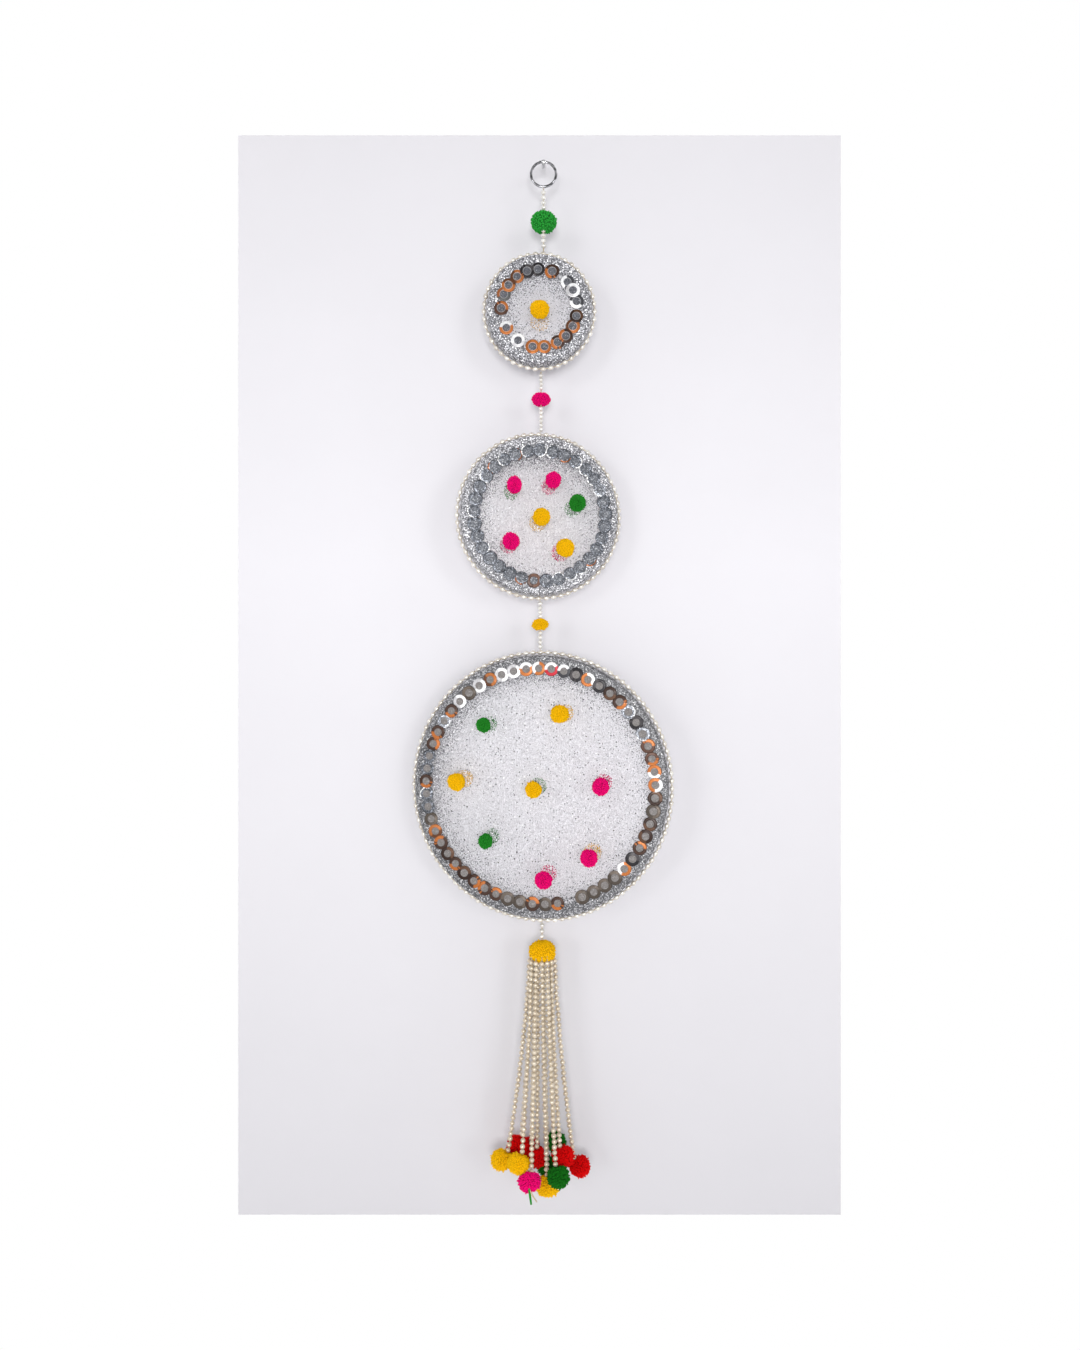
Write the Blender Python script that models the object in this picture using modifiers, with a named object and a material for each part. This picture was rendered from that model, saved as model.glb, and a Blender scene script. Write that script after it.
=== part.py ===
"""Triple disc latkan tassel hanging on a plain wall hook.

Metres, +Z up. The wall is the plane y = 0 and the front faces -Y. The origin
is the centre of the hook's flat end on the wall. The heights in the tables are
measured from the hook's seat, where the ring hangs.
Three net-covered hoops hang one under the other on strings of beads, with a
yarn pompom threaded on each string and a pearl tassel at the bottom.
"""

import math
import random

import bmesh
import bpy
from mathutils import Vector

MM = 0.001

# Pieces that touch keep this gap
GAP = 0.3 * MM

# Distance of the hanging plane from the wall
HANG = 36.0 * MM

# Wall hook: a round arm that slopes down to its seat, with an upturned tip
PEG_RADIUS = 1.5 * MM
PEG_BEND = 2.0 * MM
PEG_TIP = 2.6 * MM
SEAT_DROP = 18.5 * MM
SEAT_BACK = 3.0 * MM
WALL_STUB = 2.5 * MM

# Hanging ring
RING_WIRE = 1.15 * MM
RING_RADIUS = 11.0 * MM
RING_Z = PEG_RADIUS + GAP - (RING_RADIUS - RING_WIRE)
RING_SEGMENTS = 28
RING_WIRE_SIDES = 6

# Threads and beads, with the half width of the pearl edging
THREAD = 0.5 * MM
STRING_SIDES = 6
EDGING = 2.1 * MM
EDGING_SIDES = 5

# Drum-shaped discs
HOOP_WALL = 8.0 * MM
HOOP_CHAMFER = 2.2 * MM
NET = 1.0 * MM
NET_INSET = 1.6 * MM
SPANGLE_RADIUS = 6.0 * MM
SPANGLE_HOLE = 3.7 * MM
SPANGLE_HOLE_SIDES = 6
SPANGLE_PLATE = 0.9 * MM

# name: centre x and z, turn about Z, half width, half height, depth of the hoop,
# segments round the hoop
DISCS = {
    "small": (-3.8, -129.0, 0.0, 50.8, 52.9, 15.0, 32),
    "medium": (-4.1, -309.7, 7.0, 74.0, 74.3, 15.0, 40),
    "large": (-2.7, -547.5, -9.0, 117.0, 120.0, 16.0, 48),
}

# disc: half width and half height of its spangle row, height of the row's centre
# from the disc's, number of spangles
SPANGLE_ROWS = {
    "small": (33.1, 34.0, -0.6, 18),
    "medium": (57.8, 56.9, -0.8, 31),
    "large": (101.2, 102.8, 1.0, 57),
}

# Sewn pompoms are pressed flat against the net at this share of their radius
SEWN_PRESS = 0.8

# disc: front colour, back colour, place across, place up, diameter
SEWN_POMPOMS = {
    "small": (("yellow", "yellow", 0.6, -3.9, 15.0),),
    "medium": (
        ("pink", "green", -23.0, 24.5, 13.5),
        ("pink", "pink", 11.0, 29.5, 13.0),
        ("green", "green", 32.2, 10.0, 14.0),
        ("yellow", "yellow", 0.5, -3.0, 14.0),
        ("pink", "pink", -25.8, -24.0, 13.8),
        ("yellow", "pink", 21.3, -29.3, 14.0),
    ),
    "large": (
        ("green", "green", -48.3, 54.1, 12.4),
        ("yellow", "yellow", 19.3, 64.0, 14.2),
        ("yellow", "yellow", -72.4, 4.0, 14.0),
        ("yellow", "green", -3.9, -1.5, 13.4),
        ("pink", "pink", 54.6, 2.2, 14.2),
        ("green", "green", -46.3, -47.5, 12.4),
        ("pink", "yellow", 44.6, -59.5, 14.2),
        ("pink", "pink", 4.9, -79.7, 14.0),
    ),
}

# string: centre x, top, bottom, bead diameter, heights of its beads
STRINGS = {
    "top": (0.0, -20.7, -75.6, 4.2, (-24.3, -28.8, -33.3, -37.8, -57.3, -62.0, -66.7, -71.4)),
    "upper": (
        -2.2, -182.3, -235.1, 3.5,
        (-185.6, -189.3, -193.0, -196.7, -214.6, -218.3, -222.0, -225.7, -229.4, -233.1),
    ),
    "lower": (
        -2.9, -384.3, -427.0, 4.0,
        (-386.5, -390.3, -394.1, -397.9, -412.4, -416.5, -420.6, -424.7),
    ),
    "tassel": (-1.3, -667.8, -682.4, 4.1, (-670.3, -675.1, -679.9)),
}

# string: colour, centre height, half width, half depth, half height, bore radius, detail
THREADED_POMPOMS = {
    "top": ("green", -50.4, 11.0, 10.6, 9.3, 2.75, 3),
    "upper": ("pink", -206.6, 8.0, 7.6, 5.8, 0.95, 2),
    "lower": ("yellow", -405.0, 7.3, 7.0, 4.9, 0.95, 2),
}

# Tassel head, centre x and z and its half sizes
HEAD_X = -1.2
HEAD_Z = -692.9
HEAD_SIZE = (12.4, 11.6, 9.9)

# Strands start this far under the head's middle and spread faster near the bottom
ROOT_DROP = 1.5
STRAND_SIDE = 2.3 * MM
STRAND_STEPS = 6
STRAND_SPREAD = 1.4

# A strand enters its end pompom this far above its centre, this much nearer the axis
ENTRY_RISE = 5.0
ENTRY_REACH = 0.85
END_RADIUS = 9.5

# strand: root x and depth from the head's axis, then the end pompom's colour,
# x, depth from the hanging plane and height
STRANDS = (
    (-10.8, -1.0, "yellow", -36.7, -4.0, -874.8),
    (-9.2, -5.5, "yellow", -21.8, -18.0, -871.3),
    (-5.4, -8.0, "pink", -12.4, -25.0, -883.1),
    (4.4, -8.5, "green", 12.5, -21.0, -881.0),
    (-0.2, -9.0, "yellow", 3.9, -8.0, -895.4),
    (7.8, -5.0, "red", 17.2, -4.5, -871.0),
    (11.0, 0.0, "red", 32.0, 4.0, -884.4),
    (-8.8, 4.2, "red", -23.0, 9.0, -868.5),
    (-3.6, 1.0, "red", -6.5, 6.0, -877.0),
    (-6.6, 7.5, "red", -12.6, 20.0, -876.0),
    (7.6, 5.4, "green", 10.8, 17.0, -869.5),
    (1.4, 3.2, "green", 4.2, 13.0, -889.5),
)

# Short tie ends under the pink end pompom: sideways reach, forward reach, length
TIE_STRAND = 2
TIE_ENDS = ((1.2, -1.5, 15.5), (5.6, -1.0, 13.0))

COLOURS = {
    "green": (0.012, 0.13, 0.016),
    "pink": (0.66, 0.006, 0.11),
    "yellow": (0.80, 0.42, 0.008),
    "red": (0.42, 0.006, 0.008),
}


def clear_scene():
    """Removes every object that the scene starts with."""
    for obj in list(bpy.data.objects):
        bpy.data.objects.remove(obj, do_unlink=True)


def new_collection(name):
    """A collection linked to the scene."""
    collection = bpy.data.collections.new(name)
    bpy.context.scene.collection.children.link(collection)
    return collection


def new_material(name, colour, roughness, metallic):
    """A Principled material of one colour."""
    made = bpy.data.materials.new(name)
    made.use_nodes = True
    shader = made.node_tree.nodes["Principled BSDF"]
    shader.inputs["Base Color"].default_value = (*colour, 1.0)
    shader.inputs["Roughness"].default_value = roughness
    shader.inputs["Metallic"].default_value = metallic
    made.diffuse_color = (*colour, 1.0)
    return made


def new_centre(name, location, parent=None):
    """An empty that pieces are placed on."""
    centre = bpy.data.objects.new(name, None)
    tassel.objects.link(centre)
    centre.location = location
    centre.parent = parent
    return centre


def place(name, data, made_of, parent=None):
    """A new object in the tassel's collection."""
    obj = bpy.data.objects.new(name, data)
    tassel.objects.link(obj)
    data.materials.append(made_of)
    obj.parent = parent
    return obj


def turned_mesh(name, profile, closed):
    """A mesh of edges along a profile of radius and height."""
    mesh = bpy.data.meshes.new(name)
    count = len(profile)
    edges = [(i, i + 1) for i in range(count - 1)]
    if closed:
        edges.append((count - 1, 0))
    mesh.from_pydata([(radius, 0.0, height) for radius, height in profile], edges, [])
    return mesh


def turn(obj, steps):
    """Turns the object's profile about its own Z axis."""
    screw = obj.modifiers.new("Turned", "SCREW")
    screw.steps = steps
    screw.render_steps = steps
    screw.use_merge_vertices = True
    screw.merge_threshold = 0.00001
    return screw


def lumpy_ball(name, radii, detail, unevenness, seed, flat_side=None):
    """A ball with uneven sides, pressed flat at flat_side times its half depth."""
    shape = bmesh.new()
    bmesh.ops.create_icosphere(shape, subdivisions=detail, radius=1.0)
    chance = random.Random(seed)
    for vert in shape.verts:
        vert.co *= 1.0 + chance.uniform(-unevenness, unevenness * 0.6)
        if flat_side is not None and vert.co.y * math.copysign(1.0, flat_side) > abs(flat_side):
            vert.co.y = flat_side
        vert.co.x *= radii[0]
        vert.co.y *= radii[1]
        vert.co.z *= radii[2]
    mesh = bpy.data.meshes.new(name)
    shape.to_mesh(mesh)
    shape.free()
    mesh.shade_smooth()
    return mesh


def bore_through(obj, radius, half_length):
    """Cuts an upright hole through a threaded pompom."""
    bpy.ops.mesh.primitive_cylinder_add(
        vertices=8, radius=radius, depth=2.0 * half_length, location=obj.location
    )
    cutter = bpy.context.object
    cutter.name = obj.name + "_bore"
    cutter.parent = obj.parent
    keep_as_guide(cutter)
    cut = obj.modifiers.new("Bore", "BOOLEAN")
    cut.operation = "DIFFERENCE"
    cut.object = cutter


def keep_as_guide(obj):
    """Moves a cutter or an operand to the guides' collection, out of the model."""
    for collection in list(obj.users_collection):
        collection.objects.unlink(obj)
    guides.objects.link(obj)
    obj.hide_render = True
    obj.display_type = "WIRE"


def make_hook():
    """An arm that slopes down from the wall, turned up in front of the ring."""
    front = HANG + RING_WIRE + GAP + PEG_RADIUS
    points = [
        Vector((0.0, 0.0, SEAT_DROP)),
        Vector((0.0, -WALL_STUB, SEAT_DROP)),
        Vector((0.0, SEAT_BACK - HANG, 0.0)),
    ]
    bend_steps = 6
    for step in range(bend_steps + 1):
        angle = 0.5 * math.pi * step / bend_steps
        points.append(
            Vector((
                0.0,
                -(front - PEG_BEND) - PEG_BEND * math.sin(angle),
                PEG_BEND * (1.0 - math.cos(angle)),
            ))
        )
    points.append(Vector((0.0, -front, PEG_TIP)))
    curve = bpy.data.curves.new("wall_hook", "CURVE")
    curve.dimensions = "3D"
    curve.bevel_depth = PEG_RADIUS
    curve.bevel_resolution = 3
    curve.use_fill_caps = True
    spline = curve.splines.new("POLY")
    spline.points.add(len(points) - 1)
    for point, co in zip(spline.points, points):
        point.co = (*co, 1.0)
    place("wall_hook", curve, steel, seat)


def make_ring():
    """The round wire ring that hangs in the hook's seat."""
    bpy.ops.mesh.primitive_torus_add(
        major_radius=RING_RADIUS,
        minor_radius=RING_WIRE,
        major_segments=RING_SEGMENTS,
        minor_segments=RING_WIRE_SIDES,
        location=(0.0, -HANG, RING_Z),
        rotation=(math.radians(90.0), 0.0, 0.0),
    )
    ring = bpy.context.object
    ring.name = "hanging_ring"
    ring.data.name = "hanging_ring"
    for collection in list(ring.users_collection):
        collection.objects.unlink(ring)
    tassel.objects.link(ring)
    ring.parent = seat
    ring.data.materials.append(chrome)
    ring.data.shade_smooth()


def make_string(name):
    """One thread with its beads, turned in one piece about its own axis."""
    x, top, bottom, diameter, beads = STRINGS[name]
    radius = diameter * MM / 2.0
    profile = [(0.0, top * MM), (THREAD, top * MM)]
    half = math.sqrt(radius * radius - THREAD * THREAD)
    last = None
    for bead in beads:
        centre = bead * MM
        if last is not None and last - centre < 2.0 * half:
            neck = THREAD + 0.35 * (radius - THREAD)
            profile[-1] = (neck, (last + centre) / 2.0)
        else:
            profile.append((THREAD, centre + half))
        profile.append((radius, centre + 0.4 * radius))
        profile.append((radius, centre - 0.4 * radius))
        profile.append((THREAD, centre - half))
        last = centre
    profile.append((THREAD, bottom * MM))
    profile.append((0.0, bottom * MM))
    mesh = turned_mesh(name + "_bead_string", profile, closed=False)
    string = place(name + "_bead_string", mesh, pearl, seat)
    string.location = (x * MM, -HANG, 0.0)
    turn(string, STRING_SIDES)


def make_threaded_pompom(name, seed):
    """A yarn pompom with the string running down through it."""
    colour, height, half_width, half_depth, half_height, bore, detail = THREADED_POMPOMS[name]
    radii = (half_width * MM, half_depth * MM, half_height * MM)
    mesh = lumpy_ball(name + "_string_pompom", radii, detail, 0.05, seed)
    pompom = place(name + "_string_pompom", mesh, yarn[colour], seat)
    pompom.location = (STRINGS[name][0] * MM, -HANG, height * MM)
    bore_through(pompom, bore * MM, 2.0 * radii[2])


def make_hoop(name, centre, half_width, half_height, depth, segments):
    """The rigid hoop of a disc, square inside and chamfered outside."""
    radius = half_width
    half = depth / 2.0
    profile = [
        (radius - HOOP_CHAMFER, half),
        (radius, half - HOOP_CHAMFER),
        (radius, HOOP_CHAMFER - half),
        (radius - HOOP_CHAMFER, -half),
        (radius - HOOP_WALL, -half),
        (radius - HOOP_WALL, half),
    ]
    hoop = place(name + "_hoop", turned_mesh(name + "_hoop", profile, closed=True), wrap, centre)
    hoop.rotation_euler.x = math.radians(90.0)
    hoop.scale.y = half_height / half_width
    turn(hoop, segments)


def make_net(name, centre, half_width, half_height, middle, segments):
    """A net stretched over one face of a hoop, as an oval sheet."""
    shape = bmesh.new()
    bmesh.ops.create_cone(
        shape,
        cap_ends=True,
        segments=segments,
        radius1=half_width,
        radius2=half_width,
        depth=NET,
    )
    mesh = bpy.data.meshes.new(name)
    shape.to_mesh(mesh)
    shape.free()
    net = place(name, mesh, net_cloth, centre)
    net.rotation_euler.x = math.radians(90.0)
    net.scale.y = half_height / half_width
    net.location.y = middle


def make_edging(name, centre, half_width, half_height, segments):
    """The string of pearls round a hoop's outer wall, as one round cord."""
    bpy.ops.mesh.primitive_torus_add(
        major_radius=half_width - EDGING,
        minor_radius=EDGING,
        major_segments=segments,
        minor_segments=EDGING_SIDES,
    )
    edging = bpy.context.object
    edging.name = name + "_pearl_edging"
    edging.data.name = edging.name
    for collection in list(edging.users_collection):
        collection.objects.unlink(edging)
    tassel.objects.link(edging)
    edging.data.materials.append(pearl)
    edging.data.shade_smooth()
    edging.parent = centre
    edging.rotation_euler.x = math.radians(90.0)
    edging.scale.y = (half_height - EDGING) / (half_width - EDGING)


def oval_radius(half_width, half_height, angle):
    """The distance from an oval's centre to its edge."""
    return 1.0 / math.hypot(math.cos(angle) / half_width, math.sin(angle) / half_height)


def add_outline(curve, points):
    """Adds a closed straight-sided outline to a flat curve."""
    spline = curve.splines.new("POLY")
    spline.points.add(len(points) - 1)
    for point, (x, y) in zip(spline.points, points):
        point.co = (x, y, 0.0, 1.0)
    spline.use_cyclic_u = True


def make_spangle_row(name, centre, front):
    """Ring spangles overlapping in a row, as one plate with scalloped edges."""
    half_width, half_height, rise = (size * MM for size in SPANGLE_ROWS[name][:3])
    count = SPANGLE_ROWS[name][3]
    curve = bpy.data.curves.new(name + "_spangle_row", "CURVE")
    curve.dimensions = "2D"
    curve.fill_mode = "BOTH"
    curve.extrude = SPANGLE_PLATE / 2.0
    pitch = 2.0 * math.pi / count
    for side in (1.0, -1.0):
        outline = []
        for i in range(count):
            for share in (-0.5, 0.0):
                offset = share * pitch
                angle = i * pitch + offset
                middle = oval_radius(half_width, half_height, angle)
                reach = SPANGLE_RADIUS**2 - (middle * math.sin(offset)) ** 2
                radius = middle * math.cos(offset) + side * math.sqrt(reach)
                outline.append((radius * math.cos(angle), radius * math.sin(angle)))
        add_outline(curve, outline)
    for i in range(count):
        angle = i * pitch
        middle = oval_radius(half_width, half_height, angle)
        hole = []
        for corner in range(SPANGLE_HOLE_SIDES):
            turned = angle + 2.0 * math.pi * corner / SPANGLE_HOLE_SIDES
            hole.append((
                middle * math.cos(angle) + SPANGLE_HOLE * math.cos(turned),
                middle * math.sin(angle) + SPANGLE_HOLE * math.sin(turned),
            ))
        add_outline(curve, hole)
    row = place(name + "_spangle_row", curve, foil, centre)
    row.rotation_euler.x = math.radians(90.0)
    row.location = (0.0, front, rise)


def make_sewn_pompoms(name, centre, face, seed):
    """The pompoms on a disc's front net and their twins on its back net."""
    for number, row in enumerate(SEWN_POMPOMS[name], start=1):
        front_colour, back_colour, across, up, diameter = row
        radius = diameter * MM / 2.0
        for side, colour, facing in (("front", front_colour, -1.0), ("back", back_colour, 1.0)):
            label = f"{name}_{side}_pompom_{number}"
            own_seed = seed + 2 * number + (facing > 0.0)
            mesh = lumpy_ball(label, (radius,) * 3, 2, 0.07, own_seed, -facing * SEWN_PRESS)
            pompom = place(label, mesh, yarn[colour], centre)
            pompom.location = (across * MM, facing * (face + SEWN_PRESS * radius), up * MM)


def make_disc(name, seed):
    """One drum-shaped disc: hoop, two nets, pearl edging, spangles and pompoms."""
    x, z, yaw, half_width, half_height, depth, segments = DISCS[name]
    centre = new_centre(name + "_disc", (x * MM, -HANG, z * MM), seat)
    centre.rotation_euler.z = math.radians(yaw)
    half = depth * MM / 2.0
    wide = half_width * MM
    high = half_height * MM
    trim = 2.0 * EDGING + GAP
    make_hoop(name, centre, wide - trim, high - trim, depth * MM, segments)
    inset = trim + NET_INSET
    net_middle = half + GAP + NET / 2.0
    make_net(name + "_front_net", centre, wide - inset, high - inset, -net_middle, segments)
    make_net(name + "_back_net", centre, wide - inset, high - inset, net_middle, segments)
    make_edging(name, centre, wide, high, segments)
    face = half + NET + 2.0 * GAP
    make_spangle_row(name, centre, -(face + SPANGLE_PLATE / 2.0))
    make_sewn_pompoms(name, centre, face, seed)


def strand_mesh(root, end):
    """A four-sided strand from its root in the head to its end in a pompom."""
    shape = bmesh.new()
    rings = []
    fall = root.z - end.z
    for step in range(STRAND_STEPS + 1):
        share = step / STRAND_STEPS
        spread = share**STRAND_SPREAD
        point = Vector((
            root.x + (end.x - root.x) * spread,
            root.y + (end.y - root.y) * spread,
            root.z - fall * share,
        ))
        corners = ((1, 0), (0, 1), (-1, 0), (0, -1))
        rings.append([
            shape.verts.new(point + Vector((cx * STRAND_SIDE, cy * STRAND_SIDE, 0.0)))
            for cx, cy in corners
        ])
    for upper, lower in zip(rings, rings[1:]):
        for i in range(4):
            shape.faces.new((upper[i], lower[i], lower[(i + 1) % 4], upper[(i + 1) % 4]))
    shape.faces.new(rings[0])
    shape.faces.new(reversed(rings[-1]))
    bmesh.ops.recalc_face_normals(shape, faces=shape.faces)
    mesh = bpy.data.meshes.new("strand")
    shape.to_mesh(mesh)
    shape.free()
    return mesh


def make_tie_end(centre, reach):
    """A short three-sided yarn end hanging out of a pompom."""
    sideways, forward, length = (value * MM for value in reach)
    bpy.ops.mesh.primitive_cone_add(
        vertices=3, radius1=0.8 * MM, radius2=0.5 * MM, depth=length
    )
    tie = bpy.context.object
    tie.name = "tie_end"
    lean = Vector((sideways, forward, -length)).normalized()
    tie.rotation_euler = lean.to_track_quat("Z", "Y").to_euler()
    tie.location = centre + lean * (length / 2.0 + 0.2 * MM) + Vector((0.0, -3.0 * MM, -2.0 * MM))
    return tie


def make_tassel(seed):
    """Head, pearl strands, end pompoms and tie ends, fused into one piece."""
    mesh = lumpy_ball("tassel", [half * MM for half in HEAD_SIZE], 3, 0.05, seed)
    head = place("tassel", mesh, pearl, seat)
    head.location = (HEAD_X * MM, -HANG, HEAD_Z * MM)
    operands = bpy.data.collections.new("tassel_operands")
    guides.children.link(operands)
    root_height = HEAD_Z - ROOT_DROP
    for number, row in enumerate(STRANDS):
        root_x, root_depth, colour, x, depth, height = row
        root = Vector((HEAD_X + root_x, root_depth, root_height)) * MM
        middle = Vector((x, depth, height)) * MM
        entry = Vector((
            HEAD_X + (x - HEAD_X) * ENTRY_REACH, depth * ENTRY_REACH, height + ENTRY_RISE
        )) * MM
        for point in (root, middle, entry):
            point.y -= HANG
        strand = bpy.data.objects.new(f"strand_{number + 1}", strand_mesh(root, entry))
        label = f"end_pompom_{number + 1}"
        ball = lumpy_ball(label, (END_RADIUS * MM,) * 3, 2, 0.06, seed + 1 + number)
        ball.materials.append(yarn[colour])
        pompom = bpy.data.objects.new(label, ball)
        pompom.location = middle
        parts = [strand, pompom]
        if number == TIE_STRAND:
            parts += [make_tie_end(middle, reach) for reach in TIE_ENDS]
        for part in parts:
            for collection in list(part.users_collection):
                collection.objects.unlink(part)
            operands.objects.link(part)
            part.parent = seat
            part.hide_render = True
            part.display_type = "WIRE"
    fuse = head.modifiers.new("Fused", "BOOLEAN")
    fuse.operation = "UNION"
    fuse.operand_type = "COLLECTION"
    fuse.collection = operands
    fuse.use_self = True


clear_scene()
tassel = new_collection("triple_disc_latkan_tassel")
guides = new_collection("guides")

steel = new_material("hook_metal", (0.62, 0.62, 0.63), 0.35, 1.0)
chrome = new_material("chrome", (0.72, 0.72, 0.74), 0.12, 1.0)
pearl = new_material("pearl", (0.86, 0.82, 0.76), 0.25, 0.0)
wrap = new_material("silver_wrap", (0.42, 0.43, 0.46), 0.45, 0.6)
net_cloth = new_material("glitter_net", (0.78, 0.77, 0.80), 0.6, 0.0)
foil = new_material("foil_spangle", (0.45, 0.24, 0.14), 0.25, 0.9)
yarn = {name: new_material(name + "_yarn", colour, 0.9, 0.0) for name, colour in COLOURS.items()}

seat = new_centre("hook_seat", (0.0, 0.0, -SEAT_DROP))
make_hook()
make_ring()
for string_name in STRINGS:
    make_string(string_name)
for pompom_seed, string_name in enumerate(THREADED_POMPOMS, start=1):
    make_threaded_pompom(string_name, pompom_seed)
for disc_number, disc_name in enumerate(DISCS, start=1):
    make_disc(disc_name, 100 * disc_number)
make_tassel(500)
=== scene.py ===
"""Looks of the triple disc latkan tassel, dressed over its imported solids.

Metres in the finished meshes. Tables and sizes are in millimetres: the wall is
y = 0, the front faces -Y and +Z is up. Heights in the tables are measured from
the hook's seat, where the ring hangs, and add_piece puts them in the row's frame.
"""

import math

import bpy
import numpy as np
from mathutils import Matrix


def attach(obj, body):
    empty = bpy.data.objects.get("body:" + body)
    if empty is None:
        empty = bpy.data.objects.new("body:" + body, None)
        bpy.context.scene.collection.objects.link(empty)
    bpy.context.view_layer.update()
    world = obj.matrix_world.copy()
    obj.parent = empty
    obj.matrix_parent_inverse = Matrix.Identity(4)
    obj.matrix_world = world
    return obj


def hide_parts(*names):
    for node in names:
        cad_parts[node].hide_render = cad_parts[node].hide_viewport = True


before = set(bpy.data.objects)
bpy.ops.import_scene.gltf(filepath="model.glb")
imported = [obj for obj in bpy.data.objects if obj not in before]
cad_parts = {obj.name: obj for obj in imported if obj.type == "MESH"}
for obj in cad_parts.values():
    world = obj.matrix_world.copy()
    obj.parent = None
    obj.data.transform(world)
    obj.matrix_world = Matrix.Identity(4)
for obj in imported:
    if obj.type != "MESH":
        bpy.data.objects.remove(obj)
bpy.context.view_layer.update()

MM = 0.001
# Depth of the hanging's middle, and height of the hook's seat in the row's frame
HANG = -36.0
SEAT_Z = -18.5

# Camera, from the photograph's framing: picture centre and distance from the wall
CAMERA_X = -3.1
CAMERA_Z = -449.5
CAMERA_Y = -886.0
LENS = 25.71

# Backdrop panel as the photograph shows it, and the floor under it
WALL_Y = 0.6
WALL_LEFT = -280.6
WALL_RIGHT = 273.5
WALL_TOP = 46.8
WALL_FOOT = -945.8
FLOOR_Z = -1250.0
FLOOR_REACH = 4000.0

# light: place in metres, width of its square, power in watts
LIGHTS = {
    "front_light": ((0.0, -1.6, -0.44), 0.36, 13.2),
    "left_light": ((-2.3, -3.6, 0.0), 1.1, 22.0),
    "right_light": ((2.3, -3.6, 0.0), 1.1, 22.0),
}
LIGHT_AIM = (0.0, 0.0, -0.45)

# name: centre x and z, turn about Z in degrees, half width, half height and depth,
# number of edging pearls
DISCS = {
    "small": (-3.8, -129.0, 0.0, 50.8, 52.9, 15.0, 46),
    "medium": (-4.1, -309.7, 7.0, 74.0, 74.3, 15.0, 68),
    "large": (-2.7, -547.5, -9.0, 117.0, 120.0, 16.0, 112),
}
# disc: half width and half height of its spangle row, height of the row's centre
# from the disc's
SPANGLE_ROWS = {
    "small": (33.1, 34.0, -0.6),
    "medium": (57.8, 56.9, -0.8),
    "large": (101.2, 102.8, 1.0),
}
# Radius of the edging pearls, width of the hoop's wall, and how far in its outside is
EDGING = 2.1
HOOP_WALL = 8.0
TRIM = 2.0 * EDGING + 0.3
# Points round the hoop's section and along the hoop, and how square the section is
HOOP_STEPS = 20
HOOP_RINGS = 144
HOOP_SQUARE = 3.2
# How far a net's edge is in from the hoop's outside, its height over the hoop, its sag
NET_EDGE = 1.6
NET_LIFT = 0.8
NET_SAG = 0.35
# Share of dark dots by a net's rim, at its lower right and added up to its upper left,
# and by a pompom. Those added towards the upper left are painted shade of the hoop,
# those by a pompom painted shadow
RIM_DOTS_AND_SHADE = (0.03, 0.36)
POMPOM_SHADOW_DOTS = 0.06

# Foil of each spangle, clockwise from the top, one letter a piece. A space is a gap.
FOILS = {
    "medium": "SSMSSSgsssssMSSSsBMsssSssSssSMSMS",
    "large": "xrWkxkbmgkgyyxxbnbbmkxnnnn mnmnnmmmbmbmcnsSmssmmgmwnwcwwx",
}
# The small disc's spangles stand unevenly: turn from the top in degrees and foil
SMALL_FOILS = (
    (-18.7, "k"), (-2.0, "k"), (19.7, "m"), (47.8, "W"), (62.7, "w"), (80.0, "W"),
    (101.7, "b"), (117.6, "c"), (135.6, "m"), (151.0, "m"), (172.0, "o"), (190.0, "o"),
    (214.0, "w"), (240.0, "x"), (270.0, "y"), (291.0, "v"), (306.0, "c"), (324.4, "c"),
)
# letter: colour of one side, colour of the other side, share of the first.
# Splitting the foil's own copper, silver and red into a lighter and a darker side is
# painted reflection, and the white and near-white colours are painted highlights
FOIL_AND_REFLECTION_COLOURS = {
    "k": ((0.022, 0.020, 0.023), (0.075, 0.068, 0.072), 0.7),
    "b": ((0.035, 0.018, 0.013), (0.11, 0.055, 0.032), 0.6),
    "n": ((0.078, 0.062, 0.050), (0.135, 0.108, 0.088), 0.6),
    "m": ((0.50, 0.155, 0.036), (0.060, 0.031, 0.022), 0.35),
    "c": ((0.44, 0.145, 0.038), (0.13, 0.050, 0.022), 0.6),
    "o": ((0.56, 0.185, 0.044), (0.42, 0.130, 0.032), 0.6),
    "x": ((0.52, 0.165, 0.040), (0.90, 0.90, 0.91), 0.6),
    "y": ((0.095, 0.045, 0.030), (0.52, 0.165, 0.042), 0.65),
    "v": ((0.11, 0.11, 0.11), (0.34, 0.115, 0.040), 0.6),
    "w": ((0.95, 0.95, 0.96), (0.62, 0.61, 0.63), 0.6),
    "W": ((0.93, 0.93, 0.95), (0.06, 0.06, 0.068), 0.4),
    "r": ((0.50, 0.025, 0.040), (0.80, 0.76, 0.76), 0.55),
    "B": ((0.155, 0.082, 0.058), (0.085, 0.046, 0.034), 0.6),
    "s": ((0.20, 0.213, 0.243), (0.11, 0.12, 0.14), 0.8),
    "S": ((0.20, 0.213, 0.243), (0.97, 0.97, 0.98), 0.60),
    "M": ((0.20, 0.21, 0.235), (0.40, 0.14, 0.055), 0.70),
    "g": ((0.42, 0.44, 0.49), (0.93, 0.94, 0.96), 0.70),
}
# Foils under the net's glitter, whose second colour is a thin crescent on the outer rim:
# painted reflection, white in S and g as a painted highlight
SPECKLED_FOILS = "sSMg"
SPANGLE_RADIUS = 6.0
SPANGLE_HOLE = 3.5
SPANGLE_SIDES = 32
SPANGLE_TILT = math.radians(3.2)
# Heights over the net that the spangles have by turns
SPANGLE_LIFTS = (0.55, 0.25)

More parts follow.
